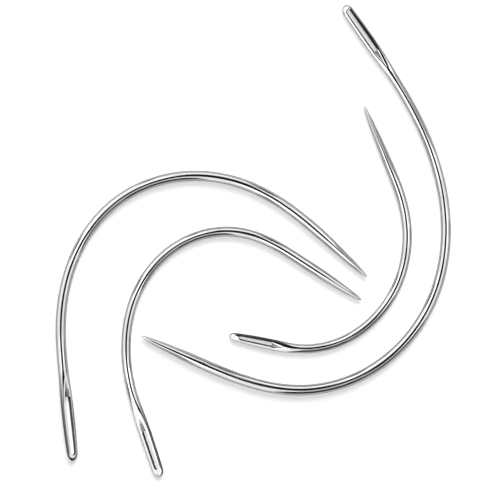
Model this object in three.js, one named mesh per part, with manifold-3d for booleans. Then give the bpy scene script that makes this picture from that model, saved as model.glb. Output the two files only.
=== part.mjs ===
// Four loose curved needles for leather and upholstery work, lying flat beside each other as a set.
// Millimetres and degrees, +Z up, with the origin under the middle of the set.
//
// Each needle is one piece of plated steel wire. Its eye end is stamped into a flat spindle and pierced
// by a long slot, with a thread gutter leading out of the slot on both faces. Its round shank swells a
// little towards the point and is bent into a hook. Its point is ground with three slightly full faces
// that meet in sharp edges.

import * as THREE from 'three';
import { mergeVertices } from 'three/addons/utils/BufferGeometryUtils.js';
import loadManifold from 'manifold-3d';

// Extra large needle, the outer one on the right
const XL_LENGTH = 127.6;
const XL_EYE_WIRE = 1.72;
const XL_POINT_WIRE = 2.12;
const XL_EYE_STRAIGHT = 7;
const XL_LEAD_IN = 17;
const XL_EYE_SIDE_RADIUS = 71;
const XL_MIDDLE_RADIUS = 31.5;
const XL_POINT_SIDE_RADIUS = 26;
const XL_LEAD_OUT = 22;
const XL_POINT_STRAIGHT = 10.5;
const XL_EYE_WIDTH = 2.2;
const XL_EYE_WIDEST = 8.2;
const XL_EYE_FLARE = 9.7;
const XL_NOSE_LENGTH = 1.1;
const XL_NOSE_FALL = 0.18;
const XL_END_WALL = 1;
const XL_SLOT_LENGTH = 9.6;
const XL_SLOT_WIDTH = 0.7;
const XL_EYE_LEAN = 14;
const XL_GUTTER_LENGTH = 5;
const XL_POINT_LENGTH = 14;
const XL_TIP_X = -21.7;
const XL_TIP_Y = -18.4;
const XL_HEADING = 155.7;
const XL_ASIDE = -40;

// Large needle, the outer one on the left
const LARGE_LENGTH = 109.2;
const LARGE_EYE_WIRE = 1.93;
const LARGE_POINT_WIRE = 1.97;
const LARGE_EYE_STRAIGHT = 15.5;
const LARGE_LEAD_IN = 11;
const LARGE_EYE_SIDE_RADIUS = 42;
const LARGE_MIDDLE_RADIUS = 23.5;
const LARGE_POINT_SIDE_RADIUS = 29;
const LARGE_LEAD_OUT = 22.5;
const LARGE_POINT_STRAIGHT = 7;
const LARGE_EYE_WIDTH = 2.6;
const LARGE_EYE_WIDEST = 9;
const LARGE_EYE_FLARE = 9.5;
const LARGE_NOSE_LENGTH = 1.4;
const LARGE_NOSE_FALL = 0.22;
const LARGE_END_WALL = 1.1;
const LARGE_SLOT_LENGTH = 11.4;
const LARGE_SLOT_WIDTH = 1.25;
const LARGE_EYE_LEAN = 12;
const LARGE_GUTTER_LENGTH = 4.6;
const LARGE_POINT_LENGTH = 13;
const LARGE_TIP_X = 21.9;
const LARGE_TIP_Y = -6.9;
const LARGE_HEADING = -42.8;
const LARGE_ASIDE = 135;

// Medium needle, the inner one on the left
const MEDIUM_LENGTH = 88.5;
const MEDIUM_EYE_WIRE = 1.77;
const MEDIUM_POINT_WIRE = 1.88;
const MEDIUM_EYE_STRAIGHT = 13;
const MEDIUM_LEAD_IN = 2;
const MEDIUM_EYE_SIDE_RADIUS = 45;
const MEDIUM_MIDDLE_RADIUS = 21.5;
const MEDIUM_POINT_SIDE_RADIUS = 16.5;
const MEDIUM_LEAD_OUT = 12;
const MEDIUM_POINT_STRAIGHT = 14;
const MEDIUM_EYE_WIDTH = 2.2;
const MEDIUM_EYE_WIDEST = 9;
const MEDIUM_EYE_FLARE = 8.3;
const MEDIUM_NOSE_LENGTH = 1.1;
const MEDIUM_NOSE_FALL = 0.15;
const MEDIUM_END_WALL = 1.5;
const MEDIUM_SLOT_LENGTH = 7.8;
const MEDIUM_SLOT_WIDTH = 0.85;
const MEDIUM_EYE_LEAN = -14;
const MEDIUM_GUTTER_LENGTH = 4.6;
const MEDIUM_POINT_LENGTH = 10;
const MEDIUM_TIP_X = 20.8;
const MEDIUM_TIP_Y = -11.4;
const MEDIUM_HEADING = -33;

// Small needle, the inner one on the right, turned over so that it hooks the other way
const SMALL_LENGTH = 74;
const SMALL_EYE_WIRE = 1.7;
const SMALL_POINT_WIRE = 1.78;
const SMALL_EYE_STRAIGHT = 7;
const SMALL_LEAD_IN = 8;
const SMALL_EYE_SIDE_RADIUS = 17.5;
const SMALL_MIDDLE_RADIUS = 22;
const SMALL_POINT_SIDE_RADIUS = 24.5;
const SMALL_LEAD_OUT = 10;
const SMALL_POINT_STRAIGHT = 12;
const SMALL_EYE_WIDTH = 2.05;
const SMALL_EYE_WIDEST = 8.4;
const SMALL_EYE_FLARE = 5;
const SMALL_NOSE_LENGTH = 1;
const SMALL_NOSE_FALL = 0.45;
const SMALL_END_WALL = 1.9;
const SMALL_SLOT_LENGTH = 6.5;
const SMALL_SLOT_WIDTH = 0.55;
const SMALL_EYE_LEAN = 0;
const SMALL_GUTTER_LENGTH = 3;
const SMALL_POINT_LENGTH = 14.5;
const SMALL_TIP_X = 21.4;
const SMALL_TIP_Y = 26;
const SMALL_HEADING = 112.7;
const SMALL_ASIDE = -40;

// The stamped eye: its thickness, and the share of it that a gutter takes on each face
const EYE_THICKNESS = 1.05;
const GUTTER_SHARE = 0.3;

// The ground point: how full its taper is, how much it swells where its faces are full, how far round
// they are turned, the share of the radius that a flat would take off, how far a face stays proud of
// that flat, and the share of the point over which the faces reach their depth
const POINT_FULLNESS = 0.4;
const POINT_SWELL = 0.15;
const FLAT_ROLL = 20;
const FLAT_DEPTH = 0.5;
const FLAT_BULGE = 0.7;
const FLAT_RUN_IN = 0.35;
const FLAT_COUNT = 3;

// The least clear way between two needles, and how finely one is moved aside to keep it
const LEAST_GAP = 0.5;
const ASIDE_STEP = 0.25;

// Facets: sides round the wire, with one flat underneath, and rings along it
const SIDES = 18;
const RING_STEP = 2.5;
const NOSE_RINGS = 4;
const EYE_RINGS = 4;
const FLARE_RINGS = 5;
const POINT_RINGS = 8;
const POINT_CROWDING = 1.5;
const CUTTER_SIDES = 16;
const WALK_STEP = 0.25;

const STEEL_COLOUR = 0xd4d6d8;
const UP = new THREE.Vector3(0, 0, 1);

// The needles in the order in which they are laid down.
// eyeWire and pointWire are the wire's thickness at the eye's side and at the point's side.
// bend.hand is 1 for a hook that turns to the left on its way from eye to tip, -1 for the right.
// eye.widest is where the eye is widest, from the nose, and eye.flare the stretch over which it runs out
// into the round wire from there. eye.noseFall is the share of its width that it loses towards the nose.
// eye.lean is how far the slot's upper mouth is rolled towards the right of that way.
// place puts the tip on the table and turns it to a heading, measured from +X. Its aside is the way in
// which a needle is moved if it would lie too close to those before it.
const NEEDLES = [
  {
    name: 'medium_needle',
    length: MEDIUM_LENGTH,
    eyeWire: MEDIUM_EYE_WIRE,
    pointWire: MEDIUM_POINT_WIRE,
    bend: {
      hand: -1,
      eyeStraight: MEDIUM_EYE_STRAIGHT,
      leadIn: MEDIUM_LEAD_IN,
      eyeSideRadius: MEDIUM_EYE_SIDE_RADIUS,
      middleRadius: MEDIUM_MIDDLE_RADIUS,
      pointSideRadius: MEDIUM_POINT_SIDE_RADIUS,
      leadOut: MEDIUM_LEAD_OUT,
      pointStraight: MEDIUM_POINT_STRAIGHT,
    },
    eye: {
      width: MEDIUM_EYE_WIDTH,
      widest: MEDIUM_EYE_WIDEST,
      flare: MEDIUM_EYE_FLARE,
      noseLength: MEDIUM_NOSE_LENGTH,
      noseFall: MEDIUM_NOSE_FALL,
      endWall: MEDIUM_END_WALL,
      slotLength: MEDIUM_SLOT_LENGTH,
      slotWidth: MEDIUM_SLOT_WIDTH,
      lean: MEDIUM_EYE_LEAN,
      gutterLength: MEDIUM_GUTTER_LENGTH,
    },
    pointLength: MEDIUM_POINT_LENGTH,
    place: { x: MEDIUM_TIP_X, y: MEDIUM_TIP_Y, heading: MEDIUM_HEADING },
  },
  {
    name: 'large_needle',
    length: LARGE_LENGTH,
    eyeWire: LARGE_EYE_WIRE,
    pointWire: LARGE_POINT_WIRE,
    bend: {
      hand: -1,
      eyeStraight: LARGE_EYE_STRAIGHT,
      leadIn: LARGE_LEAD_IN,
      eyeSideRadius: LARGE_EYE_SIDE_RADIUS,
      middleRadius: LARGE_MIDDLE_RADIUS,
      pointSideRadius: LARGE_POINT_SIDE_RADIUS,
      leadOut: LARGE_LEAD_OUT,
      pointStraight: LARGE_POINT_STRAIGHT,
    },
    eye: {
      width: LARGE_EYE_WIDTH,
      widest: LARGE_EYE_WIDEST,
      flare: LARGE_EYE_FLARE,
      noseLength: LARGE_NOSE_LENGTH,
      noseFall: LARGE_NOSE_FALL,
      endWall: LARGE_END_WALL,
      slotLength: LARGE_SLOT_LENGTH,
      slotWidth: LARGE_SLOT_WIDTH,
      lean: LARGE_EYE_LEAN,
      gutterLength: LARGE_GUTTER_LENGTH,
    },
    pointLength: LARGE_POINT_LENGTH,
    place: { x: LARGE_TIP_X, y: LARGE_TIP_Y, heading: LARGE_HEADING, aside: LARGE_ASIDE },
  },
  {
    name: 'small_needle',
    length: SMALL_LENGTH,
    eyeWire: SMALL_EYE_WIRE,
    pointWire: SMALL_POINT_WIRE,
    bend: {
      hand: 1,
      eyeStraight: SMALL_EYE_STRAIGHT,
      leadIn: SMALL_LEAD_IN,
      eyeSideRadius: SMALL_EYE_SIDE_RADIUS,
      middleRadius: SMALL_MIDDLE_RADIUS,
      pointSideRadius: SMALL_POINT_SIDE_RADIUS,
      leadOut: SMALL_LEAD_OUT,
      pointStraight: SMALL_POINT_STRAIGHT,
    },
    eye: {
      width: SMALL_EYE_WIDTH,
      widest: SMALL_EYE_WIDEST,
      flare: SMALL_EYE_FLARE,
      noseLength: SMALL_NOSE_LENGTH,
      noseFall: SMALL_NOSE_FALL,
      endWall: SMALL_END_WALL,
      slotLength: SMALL_SLOT_LENGTH,
      slotWidth: SMALL_SLOT_WIDTH,
      lean: SMALL_EYE_LEAN,
      gutterLength: SMALL_GUTTER_LENGTH,
    },
    pointLength: SMALL_POINT_LENGTH,
    place: { x: SMALL_TIP_X, y: SMALL_TIP_Y, heading: SMALL_HEADING, aside: SMALL_ASIDE },
  },
  {
    name: 'extra_large_needle',
    length: XL_LENGTH,
    eyeWire: XL_EYE_WIRE,
    pointWire: XL_POINT_WIRE,
    bend: {
      hand: -1,
      eyeStraight: XL_EYE_STRAIGHT,
      leadIn: XL_LEAD_IN,
      eyeSideRadius: XL_EYE_SIDE_RADIUS,
      middleRadius: XL_MIDDLE_RADIUS,
      pointSideRadius: XL_POINT_SIDE_RADIUS,
      leadOut: XL_LEAD_OUT,
      pointStraight: XL_POINT_STRAIGHT,
    },
    eye: {
      width: XL_EYE_WIDTH,
      widest: XL_EYE_WIDEST,
      flare: XL_EYE_FLARE,
      noseLength: XL_NOSE_LENGTH,
      noseFall: XL_NOSE_FALL,
      endWall: XL_END_WALL,
      slotLength: XL_SLOT_LENGTH,
      slotWidth: XL_SLOT_WIDTH,
      lean: XL_EYE_LEAN,
      gutterLength: XL_GUTTER_LENGTH,
    },
    pointLength: XL_POINT_LENGTH,
    place: { x: XL_TIP_X, y: XL_TIP_Y, heading: XL_HEADING, aside: XL_ASIDE },
  },
];

const wasm = await loadManifold();
wasm.setup();

// Where the slot ends on the shank's side, and where the stamped stretch ends, from the eye end
function slotEnd(eye) {
  return eye.endWall + eye.slotLength;
}

function stampedLength(eye) {
  return eye.widest + eye.flare;
}

// The wire's radius, which grows evenly from the end of the stamped stretch to the start of the point
function wireRadius(needle, along) {
  const start = stampedLength(needle.eye);
  const end = needle.length - needle.pointLength;
  const share = THREE.MathUtils.clamp((along - start) / (end - start), 0, 1);
  return THREE.MathUtils.lerp(needle.eyeWire, needle.pointWire, share) / 2;
}

// Curvature at a distance along the needle. It changes evenly between five places: none at the end of
// the eye's straight, the three radii at the start, middle and end of the bend, and none where the
// point's straight begins.
function curvature(needle, along) {
  const { bend } = needle;
  const start = bend.eyeStraight + bend.leadIn;
  const end = needle.length - bend.pointStraight - bend.leadOut;
  const places = [bend.eyeStraight, start, (start + end) / 2, end, end + bend.leadOut];
  const turns = [0, 1 / bend.eyeSideRadius, 1 / bend.middleRadius, 1 / bend.pointSideRadius, 0];
  const after = places.findIndex((place) => along < place);
  if (after < 1) {
    return 0;
  }
  const share = (along - places[after - 1]) / (places[after] - places[after - 1]);
  return bend.hand * THREE.MathUtils.lerp(turns[after - 1], turns[after], share);
}

// The middle line of a needle, walked in short steps from its eye end. It is then moved and turned
// so that the tip lies over the origin and points along +X, and raised so that the wire rests on the
// table.
function walkLine(needle) {
  const count = Math.ceil(needle.length / WALK_STEP);
  const step = needle.length / count;
  const spots = [{ point: new THREE.Vector3(), heading: 0 }];
  for (let i = 0; i < count; i += 1) {
    const last = spots[i];
    const turn = curvature(needle, (i + 0.5) * step) * step;
    const way = last.heading + turn / 2;
    const point = last.point.clone().add(new THREE.Vector3(step * Math.cos(way), step * Math.sin(way), 0));
    spots.push({ point, heading: last.heading + turn });
  }
  const tip = spots[count];
  const tipPoint = tip.point.clone();
  const tipHeading = tip.heading;
  for (const [index, spot] of spots.entries()) {
    spot.point.sub(tipPoint).applyAxisAngle(UP, -tipHeading);
    spot.point.z = wireRadius(needle, index * step);
    spot.heading -= tipHeading;
  }
  return { spots, step };
}

// The place and heading on a line at a distance from the eye end
function spotAt(line, along) {
  const position = along / line.step;
  const index = Math.min(Math.floor(position), line.spots.length - 2);
  const share = position - index;
  const before = line.spots[index];
  const after = line.spots[index + 1];
  return {
    point: before.point.clone().lerp(after.point, share),
    heading: THREE.MathUtils.lerp(before.heading, after.heading, share),
  };
}

// Distances along the needle at which a ring of points is set: close together round the nose, even
// along the eye, its run-out and the shank, and closing up towards the tip
function ringStations(needle) {
  const { noseLength, widest } = needle.eye;
  const stamped = stampedLength(needle.eye);
  const pointStart = needle.length - needle.pointLength;
  const shankRings = Math.ceil((pointStart - stamped) / RING_STEP);
  const stations = [];
  for (let i = 1; i <= NOSE_RINGS; i += 1) {
    stations.push(noseLength * (1 - Math.cos((i / NOSE_RINGS) * (Math.PI / 2))));
  }
  const stretches = [
    { start: noseLength, end: widest, rings: EYE_RINGS },
    { start: widest, end: stamped, rings: FLARE_RINGS },
    { start: stamped, end: pointStart, rings: shankRings },
  ];
  for (const { start, end, rings } of stretches) {
    for (let i = 1; i <= rings; i += 1) {
      stations.push(THREE.MathUtils.lerp(start, end, i / rings));
    }
  }
  for (let i = 1; i < POINT_RINGS; i += 1) {
    const left = 1 - i / POINT_RINGS;
    stations.push(needle.length - needle.pointLength * left ** POINT_CROWDING);
  }
  return stations;
}

// Half the width and half the thickness of the section before the point is ground. The eye narrows to a
// rounded nose on one side of its widest place and runs out into the round wire on the other.
function sectionHalves(needle, along) {
  const { eye } = needle;
  const radius = wireRadius(needle, along);
  const runOut = THREE.MathUtils.smoothstep(along, eye.widest, stampedLength(eye));
  const toNose = Math.max(0, 1 - along / eye.noseLength);
  const round = Math.sqrt(1 - toNose ** 2);
  const fall = 1 - eye.noseFall * Math.max(0, 1 - along / eye.widest) ** 2;
  return {
    width: round * fall * THREE.MathUtils.lerp(eye.width / 2, radius, runOut),
    thickness: round * THREE.MathUtils.lerp(EYE_THICKNESS / 2, radius, runOut),
  };
}

// How far the surface lies from the wire's middle, in a direction round it. The angle runs from the
// left of the way to the tip, over the top.
function sectionReach(needle, along, angle) {
  const toTip = (needle.length - along) / needle.pointLength;
  if (toTip < 1) {
    const ground = THREE.MathUtils.smoothstep(1 - toTip, 0, FLAT_RUN_IN);
    const taper = wireRadius(needle, along) * toTip ** POINT_FULLNESS * (1 + POINT_SWELL * ground);
    const flatTurn = (2 * Math.PI) / FLAT_COUNT;
    const fromFlat = angle - THREE.MathUtils.degToRad(FLAT_ROLL);
    const offFlat = fromFlat - flatTurn * Math.round(fromFlat / flatTurn);
    const flat = Math.min(taper, (taper * (1 - FLAT_DEPTH * ground)) / Math.cos(offFlat));
    return THREE.MathUtils.lerp(flat, taper, FLAT_BULGE);
  }
  const { width, thickness } = sectionHalves(needle, along);
  const offWidth = angle - THREE.MathUtils.degToRad(needle.eye.lean);
  return 1 / Math.hypot(Math.cos(offWidth) / width, Math.sin(offWidth) / thickness);
}

// The bent and ground wire before its eye is pierced, as one closed skin of rings between two ends. Its
// facets touch the round section from outside.
function wireGeometry(needle, line) {
  const stations = ringStations(needle);
  const corners = [];
  for (const along of stations) {
    const { point, heading } = spotAt(line, along);
    const left = new THREE.Vector3(-Math.sin(heading), Math.cos(heading), 0);
    for (let side = 0; side < SIDES; side += 1) {
      const angle = ((side + 0.5) / SIDES) * 2 * Math.PI - Math.PI / 2;
      const reach = sectionReach(needle, along, angle) / Math.cos(Math.PI / SIDES);
      const corner = point.clone();
      corner.addScaledVector(left, reach * Math.cos(angle));
      corner.addScaledVector(UP, reach * Math.sin(angle));
      corners.push(corner);
    }
  }
  const eyeEnd = corners.push(spotAt(line, 0).point) - 1;
  const tip = corners.push(spotAt(line, needle.length).point) - 1;

  const faces = [];
  const lastRing = (stations.length - 1) * SIDES;
  for (let side = 0; side < SIDES; side += 1) {
    const next = (side + 1) % SIDES;
    faces.push(eyeEnd, next, side);
    for (let ring = 0; ring < lastRing; ring += SIDES) {
      faces.push(ring + side, ring + next, ring + SIDES + side);
      faces.push(ring + next, ring + SIDES + next, ring + SIDES + side);
    }
    faces.push(tip, lastRing + side, lastRing + next);
  }
  const geometry = new THREE.BufferGeometry().setFromPoints(corners);
  geometry.setIndex(faces);
  return geometry;
}

// The eye's own axes: along the needle, across the cheeks, and through the slot
function eyeMatrix(line, lean) {
  const { point, heading } = spotAt(line, 0);
  const rolled = new THREE.Matrix4().makeRotationX(THREE.MathUtils.degToRad(lean));
  const turned = new THREE.Matrix4().makeRotationZ(heading);
  return new THREE.Matrix4().makeTranslation(point).multiply(turned).multiply(rolled);
}

// The punch that pierces the eye: a bar with round ends, as wide as the slot
function slotPunch(needle) {
  const { eye, eyeWire } = needle;
  const end = eye.slotWidth / 2;
  const outline = new THREE.Shape();
  outline.absarc(slotEnd(eye) - end, 0, end, -Math.PI / 2, Math.PI / 2);
  outline.absarc(eye.endWall + end, 0, end, Math.PI / 2, (3 * Math.PI) / 2);
  const punch = new THREE.ExtrudeGeometry(outline, {
    depth: 2 * eyeWire,
    bevelEnabled: false,
    curveSegments: CUTTER_SIDES / 2,
  });
  return punch.translate(0, 0, -eyeWire);
}

// The round cutter of a gutter. It starts inside the slot, below the upper face, and climbs until
// it leaves the shank.
function gutterCutter(needle) {
  const { eye } = needle;
  const radius = eye.slotWidth / 2;
  const gutterEnd = slotEnd(eye) + eye.gutterLength;
  const floor = sectionHalves(needle, slotEnd(eye)).thickness * (1 - 2 * GUTTER_SHARE);
  const start = new THREE.Vector3(slotEnd(eye) - radius, 0, floor + radius);
  const end = new THREE.Vector3(gutterEnd, 0, sectionHalves(needle, gutterEnd).thickness + radius);
  const way = end.clone().sub(start);
  const cutter = new THREE.CylinderGeometry(radius, radius, way.length(), CUTTER_SIDES);
  const barrel = new THREE.Vector3(0, 1, 0);
  cutter.applyQuaternion(new THREE.Quaternion().setFromUnitVectors(barrel, way.clone().normalize()));
  const middle = start.clone().add(end).multiplyScalar(0.5);
  return cutter.translate(middle.x, middle.y, middle.z);
}

// A closed geometry as a solid that can be cut
function toSolid(geometry) {
  geometry.deleteAttribute('normal');
  geometry.deleteAttribute('uv');
  const merged = mergeVertices(geometry);
  return new wasm.Manifold(new wasm.Mesh({
    numProp: 3,
    vertProperties: new Float32Array(merged.attributes.position.array),
    triVerts: new Uint32Array(merged.index.array),
  }));
}

function toGeometry(solid) {
  const mesh = solid.getMesh();
  const geometry = new THREE.BufferGeometry();
  geometry.setAttribute('position', new THREE.BufferAttribute(mesh.vertProperties, 3));
  geometry.setIndex(new THREE.BufferAttribute(mesh.triVerts, 1));
  geometry.computeVertexNormals();
  return geometry;
}

// One whole needle: the wire, pierced by the slot and fluted by a gutter on each face
function needleGeometry(needle, line) {
  const { lean } = needle.eye;
  const upper = eyeMatrix(line, lean);
  const lower = eyeMatrix(line, lean + 180);
  return toGeometry(
    toSolid(wireGeometry(needle, line))
      .subtract(toSolid(slotPunch(needle).applyMatrix4(upper)))
      .subtract(toSolid(gutterCutter(needle).applyMatrix4(upper)))
      .subtract(toSolid(gutterCutter(needle).applyMatrix4(lower))),
  );
}

// The clear way between two lines of points, less half of what each needle measures across
function clearWay(points, across, other) {
  let nearest = Infinity;
  for (const point of points) {
    for (const mark of other.points) {
      nearest = Math.min(nearest, Math.hypot(point.x - mark.x, point.y - mark.y));
    }
  }
  return nearest - (across + other.across) / 2;
}

// Lays a needle at its place, and moves it aside from the needles that lie there already, as far as
// the least gap asks
function layNeedle(needle, line, laid) {
  const { place } = needle;
  const across = Math.max(needle.eye.width, needle.pointWire);
  const heading = THREE.MathUtils.degToRad(place.heading);
  const position = new THREE.Vector3(place.x, place.y, 0);
  const points = line.spots.map((spot) => spot.point.clone().applyAxisAngle(UP, heading).add(position));
  const isTooClose = (other) => clearWay(points, across, other) < LEAST_GAP;
  while (laid.some(isTooClose)) {
    const way = THREE.MathUtils.degToRad(place.aside);
    const move = new THREE.Vector3(ASIDE_STEP * Math.cos(way), ASIDE_STEP * Math.sin(way), 0);
    position.add(move);
    points.forEach((point) => point.add(move));
  }
  laid.push({ points, across });
  return { position, heading };
}

const steel = new THREE.MeshStandardMaterial({ color: STEEL_COLOUR, roughness: 0.18, metalness: 1 });
const needleSet = new THREE.Group();
const laid = [];
for (const needle of NEEDLES) {
  const line = walkLine(needle);
  const mesh = new THREE.Mesh(needleGeometry(needle, line), steel);
  const { position, heading } = layNeedle(needle, line, laid);
  mesh.name = needle.name;
  mesh.position.copy(position);
  mesh.rotation.z = heading;
  needleSet.add(mesh);
}

// The set is centred over the origin and stands on the table
const box = new THREE.Box3().setFromObject(needleSet, true);
const middle = box.getCenter(new THREE.Vector3());
needleSet.position.set(-middle.x, -middle.y, -box.min.z);

export default needleSet;
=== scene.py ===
"""Looks of a set of four curved needles for leather work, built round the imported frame.

Each needle starts as a straight blank, drawn ring by ring along +X in millimetres: the nose, the
stamped eye, the round shank and the ground point. The blank is pierced and fluted, rolled, rounded
off, bent along its line and laid where its frame node lies.
"""

import logging
import math
from collections.abc import Callable
from dataclasses import dataclass
from enum import Enum

import bmesh
import bpy
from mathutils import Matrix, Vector


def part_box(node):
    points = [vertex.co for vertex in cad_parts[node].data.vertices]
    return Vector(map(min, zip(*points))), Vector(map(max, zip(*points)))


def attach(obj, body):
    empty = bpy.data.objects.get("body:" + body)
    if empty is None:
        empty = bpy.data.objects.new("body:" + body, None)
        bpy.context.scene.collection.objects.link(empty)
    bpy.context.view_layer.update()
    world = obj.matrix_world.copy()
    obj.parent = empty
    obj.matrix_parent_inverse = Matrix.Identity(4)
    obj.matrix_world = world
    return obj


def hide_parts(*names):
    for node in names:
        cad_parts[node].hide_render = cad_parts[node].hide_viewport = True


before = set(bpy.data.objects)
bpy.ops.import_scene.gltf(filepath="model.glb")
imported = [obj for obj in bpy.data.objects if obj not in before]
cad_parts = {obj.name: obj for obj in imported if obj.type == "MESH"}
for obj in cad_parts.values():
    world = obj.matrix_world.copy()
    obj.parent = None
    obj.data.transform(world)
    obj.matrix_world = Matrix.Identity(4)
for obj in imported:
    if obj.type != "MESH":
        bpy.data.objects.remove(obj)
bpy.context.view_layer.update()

LOG = logging.getLogger("needles")

# A millimetre in metres, and how much smaller a needle is laid so that it stays inside its node's box
METRES = 0.001
SNUG = 0.9997

# Sides of the blank's rings and of a quarter of one, the turn from side to side, and how much larger
# a ring is drawn because rounding draws it in; then the rounding and the angle that still shades smooth
SIDES = 24
QUARTER = SIDES // 4
SIDE_TURN = 2 * math.pi / SIDES
RING_EXCESS = 3 / (2 + math.cos(SIDE_TURN))
ROUNDING_LEVELS = 2
SMOOTH_ANGLE = math.radians(35)

# Spacing of the rings, in millimetres or in counts, and the power that crowds them towards the tip;
# last, the step in which a needle's line is walked
NOSE_RINGS = 6
LEAST_NOSE_STEP = 0.1
END_WALL_STEP = 0.5
SLOT_STEP = 1.3
GUTTER_RINGS = 8
SHANK_STEP = 2.5
POINT_RINGS = 16
POINT_CROWDING = 1.6
WALK_STEP = 0.25

# The stamped eye: its thickness in millimetres, the nose lengths over which it thins to the nose, the
# share of it that a gutter takes on each face, and how square its section is, where 2 is an ellipse
EYE_THICKNESS = 1.05
NOSE_THINNING = 2.0
GUTTER_SHARE = 0.3
EYE_SQUARENESS = 5.0
ROUND_SQUARENESS = 2.0

# The slot: the count of a ring's sides from the middle of a face to its rim, how crisp the rim is and
# the cuts in its wall; as shares of its width, how wide it is at its nose end and at its shank end, how
# far from these ends its rings stand, and how wide the gutter still is where it runs out; last, how
# flat the gutter's bottom is
RIM_COLUMN = 2
RIM_CREASE = 0.4
SLOT_WALL_CUTS = 2
SLOT_NOSE_SHARE = 0.4
SLOT_SHANK_SHARE = 0.85
SLOT_NOSE_STEPS = (0.0, 0.1, 0.3, 0.8)
SLOT_SHANK_STEPS = (0.8, 0.3)
GUTTER_END_SHARE = 0.3
GUTTER_FLATNESS = 4

# The ground point: how full its taper is, how much it swells where its faces are full, how far round
# they are turned, the share of the radius that a flat would take off, how far a face stays proud of
# that flat, the share of the point over which the faces reach their depth, the share of that run-in
# after which the edges between them are creased, how crisp these are, and the count of the faces
POINT_FULLNESS = 0.44
POINT_SWELL = 0.11
FLAT_ROLL = 20.0
FLAT_DEPTH = 0.5
FLAT_BULGE = 0.82
FLAT_RUN_IN = 0.35
CREASE_START = 0.7
EDGE_CREASE = 1.0
FLAT_COUNT = 3
FLAT_TURN = 2 * math.pi / FLAT_COUNT

# How near a corner has to lie to count as in its place or on an edge between flats
PLACE_SLACK = 0.001
EDGE_SLACK = math.radians(4)

# Attributes that carry the blank's own places to the finish
WIRE_PLACE = "wire_place"
GROUND_SHARE = "ground_share"
# Carries the mask of the painted shade in the slot and the gutters, which also roughens them
RECESS_SHARE = "recess_share"
# Carries the mask of the painted dark edge round the eye's outline
OUTLINE_SHADE_SHARE = "outline_shade_share"

# The depths below the skin, as shares of the section, between which a place comes to lie in a recess,
# which is darkened with painted shade, and how far before the slot, in millimetres, a recess may start;
# the shares of the eye's half width between which the painted shade along its outline sets in, and how
# strong that painted shade is along the sides, against 1 at the nose
RECESS_SPAN = (0.04, 0.3)
RECESS_LEAD = 1.0
OUTLINE_SHADE_SPAN = (0.74, 0.95)
OUTLINE_SHADE_STRENGTH = 0.85


class Hand(Enum):
    """The side to which a needle's bend turns on the way from its eye to its tip."""

    LEFT = 1
    RIGHT = -1


class Pick(Enum):
    """What an edit-mode selection picks."""

    VERTICES = "VERT"
    EDGES = "EDGE"
    FACES = "FACE"


class Duty(Enum):
    """What a softbox is there for."""

    LIGHT = "lights the floor"
    CARD = "shows in the steel"


def mix(low: float, high: float, share: float) -> float:
    """Gives the value at a share of the way from low to high."""
    return low + (high - low) * share


def smooth_share(value: float, start: float, end: float) -> float:
    """Gives how far a value has come from start to end, easing in and out.

    Args:
        value: The value to place.
        start: Where the share is 0.
        end: Where the share is 1.

    Returns:
        A share from 0 to 1.
    """
    share = min(1.0, max(0.0, (value - start) / (end - start)))
    return share * share * (3 - 2 * share)


@dataclass(frozen=True)
class Bend:
    """The line of a needle: straight at both ends, with a radius that changes along the bend."""

    hand: Hand
    eye_straight: float
    lead_in: float
    eye_side_radius: float
    middle_radius: float
    point_side_radius: float
    lead_out: float
    point_straight: float

    def curvature(self, length: float, along: float) -> float:
        """Gives the turn per millimetre at a distance from the eye end.

        Args:
            length: The needle's length along its line.
            along: The distance from the eye end.

        Returns:
            The signed curvature, to the left where it is above 0.
        """
        start = self.eye_straight + self.lead_in
        end = length - self.point_straight - self.lead_out
        places = (self.eye_straight, start, (start + end) / 2, end, end + self.lead_out)
        radii = (self.eye_side_radius, self.middle_radius, self.point_side_radius)
        turns = (0.0, *(1 / radius for radius in radii), 0.0)
        for low, high, from_turn, to_turn in zip(places, places[1:], turns, turns[1:]):
            if low <= along < high:
                return self.hand.value * mix(from_turn, to_turn, (along - low) / (high - low))
        return 0.0

    def walk(self, length: float, tip_heading: float) -> list[Vector]:
        """Walks the line from the eye end, with the tip at the origin.

        Args:
            length: The needle's length along its line.
            tip_heading: The way in which the tip points, in radians from +X.

        Returns:
            The points of the line, in millimetres.
        """
        count = math.ceil(length / WALK_STEP)
        step = length / count
        turns = [self.curvature(length, (i + 0.5) * step) * step for i in range(count)]
        heading = tip_heading - sum(turns)
        points = [Vector((0, 0, 0))]
        for turn in turns:
            way = heading + turn / 2
            points.append(points[-1] + Vector((step * math.cos(way), step * math.sin(way), 0)))
            heading += turn
        tip = points[-1].copy()
        return [point - tip for point in points]


@dataclass(frozen=True)
class Eye:
    """The stamped and pierced end of a needle, measured from its nose."""

    width: float
    widest: float
    flare: float
    nose_length: float
    nose_fall: float
    end_wall: float
    slot_length: float
    slot_width: float
    lean: float
    gutter_length: float

    @property
    def slot_end(self) -> float:
        """Where the slot ends on the shank's side."""
        return self.end_wall + self.slot_length

    @property
    def gutter_end(self) -> float:
        """Where the gutter runs out."""
        return self.slot_end + self.gutter_length

    @property
    def stamped(self) -> float:
        """Where the stamped stretch ends."""
        return self.widest + self.flare


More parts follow.
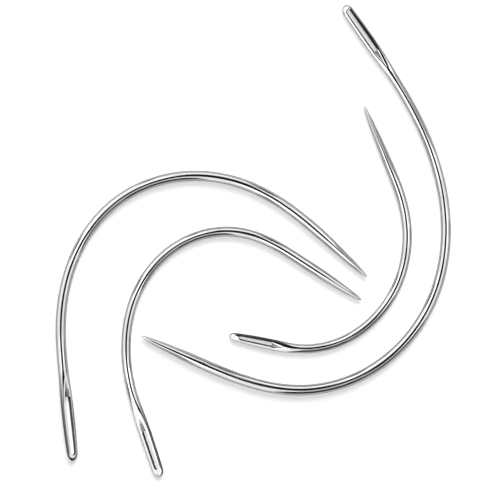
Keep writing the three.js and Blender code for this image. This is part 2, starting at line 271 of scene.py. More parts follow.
class EditBench:
    """Edit mode on one mesh, with selections made in code by place."""

    def __init__(self, piece: bpy.types.Object) -> None:
        """Opens a piece in edit mode.

        Args:
            piece: The active mesh object.
        """
        self.piece = piece
        bpy.ops.object.mode_set(mode="EDIT")

    def close(self) -> None:
        """Leaves edit mode."""
        bpy.ops.object.mode_set(mode="OBJECT")

    def select(self, pick: Pick, test: Callable[[Vector], bool]) -> int:
        """Selects the elements whose corners all pass a test.

        Args:
            pick: What to select.
            test: Takes a corner's place and says whether it belongs.

        Returns:
            The number of elements selected.
        """
        bpy.ops.mesh.select_mode(type=pick.value)
        bpy.ops.mesh.select_all(action="DESELECT")
        mesh = bmesh.from_edit_mesh(self.piece.data)
        groups = {Pick.VERTICES: mesh.verts, Pick.EDGES: mesh.edges, Pick.FACES: mesh.faces}
        count = 0
        for element in groups[pick]:
            corners = [element] if pick is Pick.VERTICES else element.verts
            if all(test(corner.co) for corner in corners):
                element.select_set(True)
                count += 1
        mesh.select_flush_mode()
        bmesh.update_edit_mesh(self.piece.data)
        return count

    @staticmethod
    def draw(way: float) -> None:
        """Extrudes the selected ring along +X."""
        bpy.ops.mesh.extrude_region_move(TRANSFORM_OT_translate={"value": (way, 0, 0)})

    @staticmethod
    def scale(across: float, up: float, centre: Vector) -> None:
        """Resizes the selection across and upwards about a centre."""
        bpy.ops.transform.resize(value=(1, across, up), center_override=centre)

    @staticmethod
    def roll(turn: float, centre: Vector) -> None:
        """Turns the selection about X, from left over the top; the operator counts the other way."""
        bpy.ops.transform.rotate(value=-turn, orient_axis="X", center_override=centre)

    @staticmethod
    def press(spot: Vector, normal: Vector, left: float) -> None:
        """Presses the selection towards a plane along the wire.

        Args:
            spot: A place on the plane.
            normal: The plane's normal, square to the wire.
            left: The share of its height above the plane that is left.
        """
        bpy.ops.transform.resize(
            value=(1, left, 1),
            orient_type="GLOBAL",
            orient_matrix=(Vector((1, 0, 0)), normal, Vector((0, -normal.z, normal.y))),
            orient_matrix_type="GLOBAL",
            constraint_axis=(False, True, False),
            center_override=spot,
        )


@dataclass(frozen=True)
class Needle:
    """One needle: its sizes in millimetres and degrees, and the work that makes it."""

    node: str
    length: float
    eye_wire: float
    point_wire: float
    bend: Bend
    eye: Eye
    point_length: float
    heading: float

    @property
    def ground_start(self) -> float:
        """Where the ground point starts, from the eye end."""
        return self.length - self.point_length

    @property
    def flat_roll(self) -> float:
        """The first face's roll on the blank, before the blank is rolled by the eye's lean."""
        return math.radians(FLAT_ROLL - self.eye.lean)

    def radius(self, along: float) -> float:
        """Gives the wire's radius, which grows evenly from the stamped stretch to the point."""
        share = (along - self.eye.stamped) / (self.ground_start - self.eye.stamped)
        return mix(self.eye_wire, self.point_wire, min(1.0, max(0.0, share))) / 2

    def ground(self, along: float) -> float:
        """Gives how far the point's faces have come to their depth, from 0 to 1."""
        return smooth_share(along - self.ground_start, 0, FLAT_RUN_IN * self.point_length)

    def half_sizes(self, along: float) -> tuple[float, float]:
        """Gives the section's half width and half thickness before the point's faces are ground.

        Args:
            along: The distance from the eye end.

        Returns:
            The half width and the half thickness.
        """
        eye, radius = self.eye, self.radius(along)
        if along > self.ground_start:
            to_tip = max(0.0, (self.length - along) / self.point_length)
            taper = radius * to_tip**POINT_FULLNESS * (1 + POINT_SWELL * self.ground(along))
            return taper, taper
        run_out = smooth_share(along, eye.widest, eye.stamped)
        nose = along / eye.nose_length
        wide, thick = (math.sqrt(1 - max(0.0, 1 - run) ** 2) for run in (nose, nose / NOSE_THINNING))
        fall = 1 - eye.nose_fall * max(0.0, 1 - along / eye.widest) ** 2
        width = fall * mix(eye.width / 2, radius, run_out)
        return wide * width, thick * mix(EYE_THICKNESS / 2, radius, run_out)

    def squareness(self, along: float) -> float:
        """Gives how square the section is, which falls off to round along the flare."""
        run_out = smooth_share(along, self.eye.widest, self.eye.stamped)
        return mix(EYE_SQUARENESS, ROUND_SQUARENESS, run_out)

    def corner(self, along: float, column: int, squareness: float) -> tuple[float, float]:
        """Gives where a ring's corner lies, on one quarter of the ring.

        Args:
            along: The ring's distance from the eye end.
            column: The count of sides from the middle of a face.
            squareness: How square the ring is.

        Returns:
            The distances off the middle line and above the middle plane.
        """
        across, up = (RING_EXCESS * half for half in self.half_sizes(along))
        turn = column * SIDE_TURN
        power = ROUND_SQUARENESS / squareness
        return across * math.sin(turn) ** power, up * math.cos(turn) ** power

    def slot_half_width(self, along: float) -> float:
        """Gives half the slot's width, which rounds off at the slot's nose end.

        Args:
            along: The distance from the eye end.

        Returns:
            Half the width.
        """
        half = self.eye.slot_width / 2
        to_end = max(0.0, 1 - (along - self.eye.end_wall) / half)
        return half * max(SLOT_NOSE_SHARE, math.sqrt(1 - to_end**2))

    def nose_stations(self) -> list[float]:
        """Gives the rings of the rounded nose and of the wall before the slot.

        Returns:
            Their distances from the eye end.
        """
        eye = self.eye
        turn = math.pi / 2 / NOSE_RINGS
        nose = [eye.nose_length * (1 - math.cos((i + 0.5) * turn)) for i in range(NOSE_RINGS)]
        count = max(0, int((eye.end_wall - eye.nose_length) / END_WALL_STEP))
        wall = [mix(eye.nose_length, eye.end_wall, (i + 0.5) / count) for i in range(count)]
        return [along for along in nose if along < eye.end_wall - LEAST_NOSE_STEP] + wall

    def slot_stations(self) -> list[float]:
        """Gives the rings along the slot but its last, close together at its ends.

        Returns:
            Their distances from the eye end.
        """
        eye = self.eye
        opening = [eye.end_wall + step * eye.slot_width for step in SLOT_NOSE_STEPS]
        closing = [eye.slot_end - step * eye.slot_width for step in SLOT_SHANK_STEPS]
        count = math.ceil((closing[0] - opening[-1]) / SLOT_STEP)
        middle = [mix(opening[-1], closing[0], i / count) for i in range(1, count)]
        return opening + middle + closing

    def gutter_stations(self) -> list[float]:
        """Gives the rings along the gutter, from the slot's last to where the gutter runs out."""
        eye, count = self.eye, GUTTER_RINGS
        return [mix(eye.slot_end, eye.gutter_end, i / count) for i in range(count + 1)]

    def stations(self) -> list[float]:
        """Gives every ring of the blank, up to the last before the tip.

        Returns:
            Their distances from the eye end.
        """
        shank: list[float] = []
        places = (self.eye.gutter_end, self.eye.stamped, self.ground_start)
        for start, end in zip(places, places[1:]):
            count = math.ceil((end - start) / SHANK_STEP)
            shank += [mix(start, end, i / count) for i in range(1, count + 1)]
        left = [(1 - i / POINT_RINGS) ** POINT_CROWDING for i in range(1, POINT_RINGS)]
        tip = [self.length - self.point_length * share for share in left]
        return self.nose_stations() + self.slot_stations() + self.gutter_stations() + shank + tip

    def draw_blank(self) -> EditBench:
        """Draws the straight blank ring by ring, from the nose to the tip, and closes its ends.

        Returns:
            The blank along +X in millimetres, open in edit mode.
        """
        rings = self.stations()
        edge = self.flat_roll + FLAT_TURN / 2
        twist = (edge - SIDE_TURN * round(edge / SIDE_TURN)) / (self.ground_start - self.eye.stamped)
        bpy.ops.object.select_all(action="DESELECT")
        bpy.ops.mesh.primitive_circle_add(
            vertices=SIDES, radius=RING_EXCESS, location=(rings[0], 0, 0), rotation=(0, math.pi / 2, 0)
        )
        bpy.context.object.name = self.node + "_steel"
        bpy.ops.object.transform_apply(location=True, rotation=True, scale=True)
        bench = EditBench(bpy.context.object)
        bpy.ops.mesh.select_mode(type=Pick.EDGES.value)
        bpy.ops.mesh.select_all(action="SELECT")
        bench.scale(*self.half_sizes(rings[0]), Vector((rings[0], 0, 0)))
        self.stamp_ring(bench, rings[0], ROUND_SQUARENESS)
        for before, along in zip(rings, rings[1:]):
            old_across, old_up = self.half_sizes(before)
            across, up = self.half_sizes(along)
            centre = Vector((along, 0, 0))
            bench.draw(along - before)
            bench.scale(across / old_across, up / old_up, centre)
            if self.eye.widest < along < self.eye.stamped + PLACE_SLACK:
                self.stamp_ring(bench, along, self.squareness(before))
            if self.eye.stamped < along < self.ground_start + PLACE_SLACK:
                bench.roll(twist * (along - before), centre)
            if along > self.ground_start + PLACE_SLACK:
                self.grind_ring(bench, before, along)
        bench.draw(self.length - rings[-1])
        bpy.ops.mesh.merge(type="CENTER")
        bench.select(Pick.EDGES, lambda spot: abs(spot.x - rings[0]) < PLACE_SLACK)
        bpy.ops.mesh.fill_grid(span=QUARTER)
        return bench

    def grind_ring(self, bench: EditBench, before: float, along: float) -> None:
        """Presses one ring of the point to its faces, and leaves the ring selected.

        Args:
            bench: The blank in edit mode.
            before: The distance of the ring before it, whose shape it still has.
            along: The ring's distance from the eye end.
        """
        taper = self.half_sizes(along)[0] * RING_EXCESS
        depth, depth_before = self.ground(along), self.ground(before)
        height = taper * (1 - FLAT_DEPTH * depth)
        left = FLAT_BULGE * depth / (depth - (1 - FLAT_BULGE) * depth_before)
        for flat in range(FLAT_COUNT):
            angle = self.flat_roll + flat * FLAT_TURN
            normal = Vector((0, math.cos(angle), math.sin(angle)))

            def is_proud(spot: Vector) -> bool:
                """Says whether a corner of this ring stands above the flat."""
                return abs(spot.x - along) < PLACE_SLACK and spot.dot(normal) > height

            if bench.select(Pick.VERTICES, is_proud):
                bench.press(Vector((along, 0, 0)) + normal * height, normal, left)
        bench.select(Pick.EDGES, lambda spot: abs(spot.x - along) < PLACE_SLACK)

    def move_corners(
        self, bench: EditBench, along: float, old: tuple[float, float], new: tuple[float, float]
    ) -> None:
        """Moves the corners of a ring that lie at one place of each of its quarters.

        Args:
            bench: The blank in edit mode.
            along: The ring's distance from the eye end.
            old: How far they lie off the middle line and above the middle plane.
            new: How far they come to lie off them.
        """

        def belongs(spot: Vector) -> bool:
            """Says whether a corner lies on that ring and place."""
            place = (spot.x - along, abs(spot.y) - old[0], abs(spot.z) - old[1])
            return max(abs(off) for off in place) < PLACE_SLACK

        bench.select(Pick.VERTICES, belongs)
        bench.scale(new[0] / old[0] if old[0] else 1, new[1] / old[1], Vector((along, 0, 0)))

    def stamp_ring(self, bench: EditBench, along: float, squareness: float) -> None:
        """Brings one ring to its squareness, and leaves the ring selected.

        Args:
            bench: The blank in edit mode.
            along: The ring's distance from the eye end.
            squareness: How square the ring still is.
        """
        for column in range(1, QUARTER):
            old = self.corner(along, column, squareness)
            self.move_corners(bench, along, old, self.corner(along, column, self.squareness(along)))
        bench.select(Pick.EDGES, lambda spot: abs(spot.x - along) < PLACE_SLACK)

    def set_column(
        self, bench: EditBench, along: float, column: int, half_width: float, depth: float = 0.0
    ) -> None:
        """Moves the corners of a ring at a count of sides from the middle line, on both faces.

        Args:
            bench: The blank in edit mode.
            along: The ring's distance from the eye end.
            column: The count of sides.
            half_width: How far off the middle line they go.
            depth: How far below the face they go.
        """
        squareness = self.squareness(along)
        across, up = (RING_EXCESS * half for half in self.half_sizes(along))
        height = up * (1 - (half_width / across) ** squareness) ** (1 / squareness) - depth
        old = self.corner(along, column, squareness)
        self.move_corners(bench, along, old, (half_width, height))

    def pierce(self, bench: EditBench) -> None:
        """Opens the slot through both faces of the eye, flutes the gutters and walls the slot.

        Args:
            bench: The blank in edit mode.
        """
        eye = self.eye

        def is_punched(spot: Vector) -> bool:
            """Says whether a corner lies inside the slot or on its rim.

            Args:
                spot: The corner's place.

            Returns:
                Whether it does.
            """
            if not eye.end_wall - PLACE_SLACK < spot.x < eye.slot_end + PLACE_SLACK:
                return False
            rim = self.corner(spot.x, RIM_COLUMN, self.squareness(spot.x))[0]
            return abs(spot.y) < rim + PLACE_SLACK

        bench.select(Pick.FACES, is_punched)
        bpy.ops.mesh.delete(type="FACE")
        half = eye.slot_width / 2
        for column in range(1, RIM_COLUMN + 1):
            share = column / RIM_COLUMN
            self.set_column(bench, eye.end_wall, column, self.slot_half_width(eye.end_wall) * share)
        for along in self.slot_stations()[1:]:
            self.set_column(bench, along, RIM_COLUMN, self.slot_half_width(along))
        for along in self.gutter_stations()[:-1]:
            run = (along - eye.slot_end) / eye.gutter_length
            width = half * mix(SLOT_SHANK_SHARE, GUTTER_END_SHARE, run)
            depth = 2 * GUTTER_SHARE * self.half_sizes(eye.slot_end)[1] * (1 - run) ** 2
            for column in range(RIM_COLUMN + 1):
                share = column / RIM_COLUMN
                self.set_column(bench, along, column, width * share, depth * (1 - share**GUTTER_FLATNESS))
        bpy.ops.mesh.select_mode(type=Pick.EDGES.value)
        bpy.ops.mesh.select_all(action="DESELECT")
        bpy.ops.mesh.select_non_manifold(
            extend=False,
            use_wire=False,
            use_boundary=True,
            use_multi_face=False,
            use_non_contiguous=False,
            use_verts=False,
        )
        bpy.ops.transform.edge_crease(value=RIM_CREASE)
        bpy.ops.mesh.bridge_edge_loops(number_cuts=SLOT_WALL_CUTS)

    def sharpen(self, bench: EditBench) -> None:
        """Creases the edges between the flats, from the end of their run-in to the tip.

        Args:
            bench: The blank in edit mode.
        """
        start = self.ground_start + CREASE_START * FLAT_RUN_IN * self.point_length

        def is_on_edge(spot: Vector) -> bool:
            """Says whether a corner lies on an edge between two flats, or is the tip.

            Args:
                spot: The corner's place.

            Returns:
                Whether it does or is.
            """
            if spot.x < start:
                return False
            if math.hypot(spot.y, spot.z) < PLACE_SLACK:
                return True
            off = math.atan2(spot.z, spot.y) - self.flat_roll - FLAT_TURN / 2
            return abs(off - FLAT_TURN * round(off / FLAT_TURN)) < EDGE_SLACK

        bench.select(Pick.EDGES, is_on_edge)
        bpy.ops.transform.edge_crease(value=EDGE_CREASE)

    def recess(self, along: float, side: float, height: float) -> float:
        """Gives how far a place lies in the slot or a gutter, below the eye's skin.

        Args:
            along: Its distance from the eye end.
            side: Its distance from the middle line, before the lean.
            height: Its height above the middle plane, before the lean.

        Returns:
            A share from 0 to 1.
        """
        if not self.eye.end_wall - RECESS_LEAD < along < self.eye.gutter_end:
            return 0.0
        across, up = self.half_sizes(max(along, LEAST_NOSE_STEP))
        power = self.squareness(along)
        reach = (abs(side / across) ** power + abs(height / up) ** power) ** (1 / power)
        return smooth_share(1 - reach, *RECESS_SPAN)

    def outline_shade(self, along: float, side: float) -> float:
        """Gives how near a place lies to the eye's outline, which gets painted shade; this fades out along
        the flare.

        Args:
            along: Its distance from the eye end.
            side: Its distance from the middle line, before the lean.

        Returns:
            A share from 0 to 1.
        """
        eye = self.eye
        if along > eye.stamped:
            return 0.0
        half_width = self.half_sizes(max(along, eye.nose_length))[0]
        to_nose = max(0.0, 1 - along / eye.nose_length)
        reach = math.hypot(to_nose, side / half_width)
        fading = 1 - smooth_share(along, eye.widest, eye.stamped)
        return mix(OUTLINE_SHADE_STRENGTH, 1.0, to_nose) * fading * smooth_share(reach, *OUTLINE_SHADE_SPAN)

    def note_places(self, piece: bpy.types.Object) -> None:
        """Stores the blank's own places on the mesh, for the finish.

        Args:
            piece: The rounded blank, already rolled by its lean.
        """
        lean = math.radians(self.eye.lean)
        places: list[float] = []
        # The recess and outline shares are the masks of painted shade in the finish
        shares: dict[str, list[float]] = {GROUND_SHARE: [], RECESS_SHARE: [], OUTLINE_SHADE_SHARE: []}
        for corner in piece.data.vertices:
            spot = corner.co
            places.extend(spot)
            side = spot.y * math.cos(lean) + spot.z * math.sin(lean)
            height = spot.z * math.cos(lean) - spot.y * math.sin(lean)
            shares[GROUND_SHARE].append(self.ground(spot.x))
            shares[RECESS_SHARE].append(self.recess(spot.x, side, height))
            shares[OUTLINE_SHADE_SHARE].append(self.outline_shade(spot.x, side))
        place = piece.data.attributes.new(WIRE_PLACE, "FLOAT_VECTOR", "POINT")
        place.data.foreach_set("vector", places)
        for name, values in shares.items():
            piece.data.attributes.new(name, "FLOAT", "POINT").data.foreach_set("value", values)

    def bend_blank(self, piece: bpy.types.Object) -> None:
        """Bends the straight blank along the needle's line.

        Args:
            piece: The rounded blank.
        """
        line = bpy.data.curves.new(self.node + "_line", "CURVE")
        line.dimensions = "3D"
        line.twist_mode = "Z_UP"
        points = self.bend.walk(self.length, math.radians(self.heading))
        for i, point in enumerate(points):
            point.z = self.radius(self.length * i / (len(points) - 1))
        spline = line.splines.new("POLY")
        spline.points.add(len(points) - 1)
        spline.points.foreach_set("co", [value for point in points for value in (*point, 1)])
        guide = bpy.data.objects.new(line.name, line)
        bpy.context.scene.collection.objects.link(guide)
        modifier = piece.modifiers.new("bend", "CURVE")
        modifier.object = guide
        modifier.deform_axis = "POS_X"
        bpy.ops.object.modifier_apply(modifier=modifier.name)
        bpy.data.objects.remove(guide)
        bpy.data.curves.remove(line)

    def lay(self, piece: bpy.types.Object) -> None:
        """Brings the bent needle to metres and lays it where its frame node lies.

        Args:
            piece: The bent needle, in millimetres.
        """
        piece.scale = 3 * [METRES * SNUG]
        bpy.ops.object.transform_apply(location=False, rotation=False, scale=True)
        low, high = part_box(self.node)
        corners = [Vector(corner) for corner in piece.bound_box]
        made_low = Vector(min(corner[i] for corner in corners) for i in range(3))
        made_high = Vector(max(corner[i] for corner in corners) for i in range(3))
        move = (low + high - made_low - made_high) / 2
        move.z = low.z - made_low.z
        piece.location = move
        bpy.ops.object.transform_apply(location=True, rotation=False, scale=False)

    def build(self) -> bpy.types.Object:
        """Makes the needle's mesh.

        Returns:
            The finished needle in its place, in metres.
        """
        bench = self.draw_blank()
        self.pierce(bench)
        self.sharpen(bench)
        bpy.ops.mesh.select_all(action="SELECT")
        bpy.ops.mesh.normals_make_consistent(inside=False)
        bench.roll(math.radians(self.eye.lean), Vector((0, 0, 0)))
        bench.close()
        piece = bench.piece
        rounding = piece.modifiers.new("rounding", "SUBSURF")
        rounding.levels = ROUNDING_LEVELS
        rounding.render_levels = ROUNDING_LEVELS
        bpy.ops.object.modifier_apply(modifier=rounding.name)
        self.note_places(piece)
        self.bend_blank(piece)
        self.lay(piece)
        bpy.ops.object.shade_smooth_by_angle(angle=SMOOTH_ANGLE)
        return piece

    def dress(self, piece: bpy.types.Object, steel: bpy.types.Material) -> None:
        """Gives the needle its finish and ties it to its body.

        Args:
            piece: The finished needle.
            steel: The material of its plate.
        """
        piece.data.materials.append(steel)
        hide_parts(self.node)
        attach(piece, self.node)


NEEDLES = (
    Needle(
        node="extra_large_needle",
        length=127.6,
        eye_wire=1.72,
        point_wire=2.12,
        bend=Bend(
            hand=Hand.RIGHT,
            eye_straight=7.0,
            lead_in=17.0,
            eye_side_radius=71.0,
            middle_radius=31.5,
            point_side_radius=26.0,
            lead_out=22.0,
            point_straight=10.5,
        ),
        eye=Eye(
            width=2.2,
            widest=8.2,
            flare=9.7,
            nose_length=1.1,
            nose_fall=0.18,
            end_wall=1.0,
            slot_length=9.6,
            slot_width=0.8,
            lean=10.0,
            gutter_length=5.0,
        ),
        point_length=14.0,
        heading=155.7,
    ),
    Needle(
        node="large_needle",
        length=109.2,
        eye_wire=1.93,
        point_wire=1.97,
        bend=Bend(
            hand=Hand.RIGHT,
            eye_straight=15.5,
            lead_in=11.0,
            eye_side_radius=42.0,
            middle_radius=23.5,
            point_side_radius=29.0,
            lead_out=22.5,
            point_straight=7.0,
        ),
        eye=Eye(
            width=2.4,
            widest=9.0,
            flare=9.5,
            nose_length=1.4,
            nose_fall=0.22,
            end_wall=1.1,
            slot_length=11.4,
            slot_width=1.4,
            lean=34.0,
            gutter_length=4.6,
        ),
        point_length=13.0,
        heading=-42.8,
    ),
    Needle(
        node="medium_needle",
        length=88.5,
        eye_wire=1.77,
        point_wire=1.88,
        bend=Bend(
            hand=Hand.RIGHT,
            eye_straight=13.0,
            lead_in=2.0,
            eye_side_radius=45.0,
            middle_radius=21.5,
            point_side_radius=16.5,
            lead_out=12.0,
            point_straight=14.0,
        ),
        eye=Eye(
            width=2.2,
            widest=9.0,
            flare=8.3,
            nose_length=1.1,
            nose_fall=0.15,
            end_wall=1.5,
            slot_length=7.8,
            slot_width=0.85,
            lean=-20.0,
            gutter_length=4.6,
        ),
        point_length=10.0,
        heading=-33.0,
    ),
    Needle(
        node="small_needle",
        length=74.0,
        eye_wire=1.7,
        point_wire=1.78,
        bend=Bend(
            hand=Hand.LEFT,
            eye_straight=7.0,
            lead_in=8.0,
            eye_side_radius=17.5,
            middle_radius=22.0,
            point_side_radius=24.5,
            lead_out=10.0,
            point_straight=12.0,
        ),
        eye=Eye(
            width=2.05,
            widest=8.4,
            flare=5.0,
            nose_length=1.0,
            nose_fall=0.45,
            end_wall=1.9,
            slot_length=6.5,
            slot_width=0.65,
            lean=11.0,
            gutter_length=3.0,
        ),
        point_length=14.5,
        heading=112.7,
    ),
)


@dataclass(frozen=True)
class Grain:
    """A noise that is stretched along the axes: its waves per unit, and its count of finer layers."""

    waves: tuple[float, float, float]
    detail: float


class NodeBoard:
    """A material's or world's nodes, added and wired by short calls."""

    def __init__(self, owner: bpy.types.Material | bpy.types.World) -> None:
        """Clears the owner's nodes.

        Args:
            owner: The material or world.
        """
        owner.use_nodes = True
        self.tree = owner.node_tree
        self.tree.nodes.clear()

    def add(self, kind: str, **inputs: object) -> bpy.types.Node:
        """Adds a node and fills its sockets.

        Args:
            kind: The node's type, without the leading ShaderNode.
            inputs: A value or an output socket for each input; _ stands for a space.

        Returns:
            The node.
        """
        node = self.tree.nodes.new("ShaderNode" + kind)
        for name, value in inputs.items():
            socket = node.inputs[name.replace("_", " ")]
            self.feed(value, socket)
        return node

    def feed(self, value: object, socket: bpy.types.NodeSocket) -> None:
        """Links an output socket to an input, or sets a plain value on it.

        Args:
            value: The output socket or the plain value.
            socket: The input.
        """
        if isinstance(value, bpy.types.NodeSocket):
            self.tree.links.new(value, socket)
        else:
            socket.default_value = value

    def attribute(self, name: str) -> bpy.types.Node:
        """Adds a node that reads an attribute of the mesh.

        Args:
            name: The attribute's name.

        Returns:
            The node.
        """
        node = self.add("Attribute")
        node.attribute_name = name
        return node

    def noise(self, place: bpy.types.NodeSocket, grain: Grain) -> bpy.types.NodeSocket:
        """Adds a noise.

        Args:
            place: The coordinates that it follows.
            grain: Its waves.

        Returns:
            The noise, about 0.5 on average.
        """
        mapping = self.add("Mapping", Vector=place, Scale=grain.waves)
        noise = self.add("TexNoise", Vector=mapping.outputs["Vector"], Scale=1.0, Detail=grain.detail)
        return noise.outputs["Fac"]

    def spread(
        self, value: bpy.types.NodeSocket, span: tuple[float, float], ends: tuple[float, float]
    ) -> bpy.types.NodeSocket:
        """Adds a number that goes from one end to the other while a value goes over a span.

        Args:
            value: The value.
            span: Where the value starts and ends.
            ends: What is given there.

        Returns:
            The number, which stays between the ends.
        """
        node = self.add(
            "MapRange",
            Value=value,
            From_Min=span[0],
            From_Max=span[1],
            To_Min=ends[0],
            To_Max=ends[1],
        )
        return node.outputs["Result"]

    def larger(self, first: bpy.types.NodeSocket, second: bpy.types.NodeSocket) -> bpy.types.NodeSocket:
        """Adds the larger of two numbers.

        Args:
            first: One number.
            second: The other number.

        Returns:
            The larger number.
        """
        node = self.add("Math")
        node.operation = "MAXIMUM"
        self.feed(first, node.inputs[0])
        self.feed(second, node.inputs[1])
        return node.outputs["Value"]

    def blend(self, first: object, second: object, share: bpy.types.NodeSocket) -> bpy.types.NodeSocket:
        """Adds a mix of two numbers.

        Args:
            first: The number where the share is 0.
            second: The number where the share is 1.
            share: The share of the second.

        Returns:
            The mixed number.
        """
        node = self.add("Mix", Factor=share)
        self.feed(first, node.inputs["A"])
        self.feed(second, node.inputs["B"])
        return node.outputs["Result"]


@dataclass(frozen=True)
class PlatedSteel:
    """Bright nickel plate over drawn wire, with drawing lines along it and grinding on the flats.

    Painted shade darkens the slot and the gutters, by how deep they lie, and a painted dark edge runs round
    the eye's outline.
    The spans are those of the noises over which the tone and the gloss change.
    """

    name: str = "bright_nickel"
    pale: tuple[float, float, float, float] = (0.48, 0.48, 0.48, 1.0)
    dull: tuple[float, float, float, float] = (0.44, 0.44, 0.445, 1.0)
    # Painted shade for the slot, its walls and the gutters
    painted_recess_shade: tuple[float, float, float, float] = (0.16, 0.16, 0.16, 1.0)
    # Painted shade for the dark edge round the eye's outline
    painted_outline_shade: tuple[float, float, float, float] = (0.06, 0.06, 0.06, 1.0)
    rim_tint: tuple[float, float, float, float] = (0.16, 0.16, 0.16, 1.0)
    polish: float = 0.03
    drawn: float = 0.08
    stamped: float = 0.12
    line_depth: float = 0.000004
    line_strength: float = 0.5
    tone_span: tuple[float, float] = (0.35, 0.6)
    gloss_span: tuple[float, float] = (0.3, 0.75)
    drawing: Grain = Grain((0.12, 7.0, 7.0), 4.0)
    grinding: Grain = Grain((9.0, 1.2, 1.2), 3.0)
    blotches: Grain = Grain((0.25, 0.6, 0.6), 2.0)

    def material(self) -> bpy.types.Material:
        """Makes the material.

        Returns:
            The finished material.
        """
        material = bpy.data.materials.new(self.name)
        board = NodeBoard(material)
        place = board.attribute(WIRE_PLACE).outputs["Vector"]
        ground = board.attribute(GROUND_SHARE).outputs["Fac"]
        recess = board.attribute(RECESS_SHARE).outputs["Fac"]
        outline_shade = board.attribute(OUTLINE_SHADE_SHARE).outputs["Fac"]
        drawing = board.noise(place, self.drawing)
        grinding = board.noise(place, self.grinding)
        lines = board.blend(drawing, grinding, ground)

        tone = board.add("ValToRGB", Fac=board.noise(place, self.blotches))
        for stop, position, colour in zip(tone.color_ramp.elements, self.tone_span, (self.dull, self.pale)):
            stop.position = position
            stop.color = colour
        # Painted shade: the slot and the gutters darken by how deep they lie
        face = board.add("MixRGB", Fac=recess, Color1=tone.outputs["Color"], Color2=self.painted_recess_shade)
        # Painted shade: a dark edge round the eye's outline, darkest at the nose
        plate = board.add("MixRGB", Fac=outline_shade, Color1=face.outputs["Color"], Color2=self.painted_outline_shade)
        gloss = board.spread(lines, self.gloss_span, (self.polish, self.drawn))
        rough = board.blend(gloss, self.stamped, recess)
        relief = board.add("Bump", Height=lines, Strength=self.line_strength, Distance=self.line_depth)

        shader = board.add(
            "BsdfPrincipled",
            Base_Color=plate.outputs["Color"],
            Metallic=1.0,
            Roughness=rough,
            Specular_Tint=self.rim_tint,
            Normal=relief.outputs["Normal"],
        )
        board.add("OutputMaterial", Surface=shader.outputs["BSDF"])
        return material


@dataclass(frozen=True)
class PaleFloor:
    """The white sheet on which the needles lie, with its sizes in metres.

    Its glow shows to the camera and in reflections, and lights nothing.
    """

    name: str = "white_sheet"
    half_size: float = 1.5
    paper: tuple[float, float, float, float] = (0.9, 0.9, 0.9, 1.0)
    shade: tuple[float, float, float, float] = (0.88, 0.88, 0.88, 1.0)
    clouds: Grain = Grain((6.0, 6.0, 6.0), 2.0)
    below: float = 0.00001
    glow: float = 0.13

    def build(self) -> bpy.types.Object:
        """Makes the white sheet, with its paper and its glow.

        Returns:
            The sheet.
        """
        bpy.ops.object.select_all(action="DESELECT")
        bpy.ops.mesh.primitive_plane_add(size=2 * self.half_size, location=(0, 0, -self.below))
        sheet = bpy.context.object
        sheet.name = self.name
        material = bpy.data.materials.new(self.name)
        board = NodeBoard(material)
        place = board.add("TexCoord").outputs["Object"]
        tone = board.add("ValToRGB", Fac=board.noise(place, self.clouds))
        tone.color_ramp.elements[0].color = self.shade
        tone.color_ramp.elements[1].color = self.paper
        paper = board.add("BsdfDiffuse", Color=tone.outputs["Color"])
        path = board.add("LightPath")
        seen = board.larger(path.outputs["Is Camera Ray"], path.outputs["Is Glossy Ray"])
        seen = board.larger(seen, path.outputs["Is Transmission Ray"])
        white = board.add("Emission", Strength=board.blend(0.0, self.glow, seen))
        both = board.add("AddShader")
        board.feed(paper.outputs["BSDF"], both.inputs[0])
        board.feed(white.outputs["Emission"], both.inputs[1])
        board.add("OutputMaterial", Surface=both.outputs["Shader"])
        sheet.data.materials.append(material)
        return sheet


@dataclass(frozen=True)
class Softbox:
    """A soft lamp that faces the set: its direction and breadth in degrees from there, and its distance.

    The distance is in metres.
    """

    name: str
    azimuth: float
    elevation: float
    wide: float
    tall: float
    radiance: float
    distance: float = 0.5
    duty: Duty = Duty.CARD

    def build(self) -> bpy.types.Object:
        """Hangs the lamp, with its azimuth counted from +X.

        Returns:
            The lamp.
        """
        turn, rise = math.radians(self.azimuth), math.radians(self.elevation)
        way = Vector((math.cos(turn) * math.cos(rise), math.sin(turn) * math.cos(rise), math.sin(rise)))
        lamp = bpy.data.lights.new(self.name, "AREA")
        lamp.shape = "RECTANGLE"
        lamp.size = 2 * self.distance * math.tan(math.radians(self.wide / 2))
        lamp.size_y = 2 * self.distance * math.tan(math.radians(self.tall / 2))
        lamp.energy = self.radiance * math.pi * lamp.size * lamp.size_y
        box = bpy.data.objects.new(self.name, lamp)
        bpy.context.scene.collection.objects.link(box)
        box.location = way * self.distance
        box.rotation_euler = way.to_track_quat("Z", "Y").to_euler()
        box.visible_camera = False
        box.visible_diffuse = self.duty is Duty.LIGHT
        box.visible_glossy = self.duty is Duty.CARD
        return box


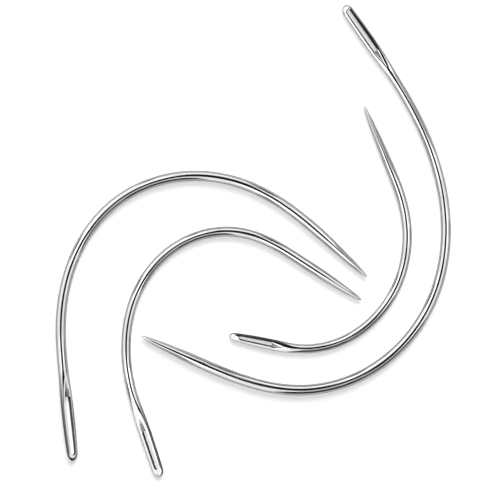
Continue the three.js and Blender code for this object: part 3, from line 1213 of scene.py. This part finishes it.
SOFTBOXES = (
    Softbox(
        "top_light",
        azimuth=90.0,
        elevation=89.0,
        wide=8.0,
        tall=8.0,
        radiance=88.0,
        distance=1.5,
        duty=Duty.LIGHT,
    ),
    Softbox(
        "north_light",
        azimuth=82.0,
        elevation=50.0,
        wide=26.0,
        tall=26.0,
        radiance=8.8,
        distance=1.5,
        duty=Duty.LIGHT,
    ),
    Softbox("north_card", azimuth=90.0, elevation=34.5, wide=39.0, tall=41.0, radiance=1.9),
    Softbox("north_west_card", azimuth=134.0, elevation=38.0, wide=35.0, tall=60.0, radiance=2.1),
    Softbox("west_card", azimuth=178.0, elevation=39.5, wide=35.0, tall=59.0, radiance=1.8),
    Softbox("south_west_card", azimuth=220.0, elevation=38.5, wide=34.0, tall=57.0, radiance=2.0),
    Softbox("south_card", azimuth=253.0, elevation=38.0, wide=21.0, tall=60.0, radiance=1.7),
    Softbox("high_south_card", azimuth=283.0, elevation=63.0, wide=14.0, tall=30.0, radiance=0.9),
    Softbox("south_east_card", azimuth=312.0, elevation=50.0, wide=20.0, tall=28.0, radiance=0.8),
    Softbox("east_card", azimuth=345.0, elevation=43.5, wide=27.0, tall=47.0, radiance=1.7),
    Softbox("high_east_card", azimuth=12.0, elevation=43.0, wide=17.0, tall=56.0, radiance=1.6),
    Softbox("dim_east_card", azimuth=31.0, elevation=39.0, wide=20.0, tall=48.0, radiance=0.7),
    Softbox("north_east_card", azimuth=50.0, elevation=43.0, wide=17.0, tall=52.0, radiance=1.8),
)


@dataclass(frozen=True)
class Studio:
    """A dim room with a pale backdrop all round, the lamps and the camera straight above the set.

    The backdrop's edges are in degrees above the ground; the camera's centre, the breadth of its field
    there and its distance are in metres.
    """

    room: float = 0.04
    backdrop: float = 0.6
    backdrop_edges: tuple[float, float] = (8.0, 20.0)
    centre: tuple[float, float] = (-0.000633, -0.001753)
    field: float = 0.0967
    distance: float = 0.6

    def build(self) -> None:
        """Sets up the room, the lamps and the camera."""
        scene = bpy.context.scene
        scene.view_settings.view_transform = "Standard"
        scene.world = bpy.data.worlds.new("dim_room")
        board = NodeBoard(scene.world)
        way = board.add("SeparateXYZ", Vector=board.add("TexCoord").outputs["Generated"])
        low, high = (math.sin(math.radians(edge)) for edge in self.backdrop_edges)
        level = board.spread(way.outputs["Z"], (low, high), (self.backdrop, self.room))
        room = board.add("Background", Strength=level)
        board.add("OutputWorld", Surface=room.outputs["Background"])
        for softbox in SOFTBOXES:
            softbox.build()
        lens = bpy.data.cameras.new("top_camera")
        lens.lens = lens.sensor_width * self.distance / self.field
        camera = bpy.data.objects.new("top_camera", lens)
        scene.collection.objects.link(camera)
        camera.location = (*self.centre, self.distance)
        scene.camera = camera


def main() -> None:
    """Builds the set, its stage and its light, and reports each piece."""
    logging.basicConfig(level=logging.INFO, format="%(name)s: %(message)s")
    steel = PlatedSteel().material()
    for needle in NEEDLES:
        piece = needle.build()
        needle.dress(piece, steel)
        LOG.info("%s: %d faces", piece.name, len(piece.data.polygons))
    LOG.info("floor: %s", PaleFloor().build().name)
    Studio().build()


if __name__ == "__main__":
    main()
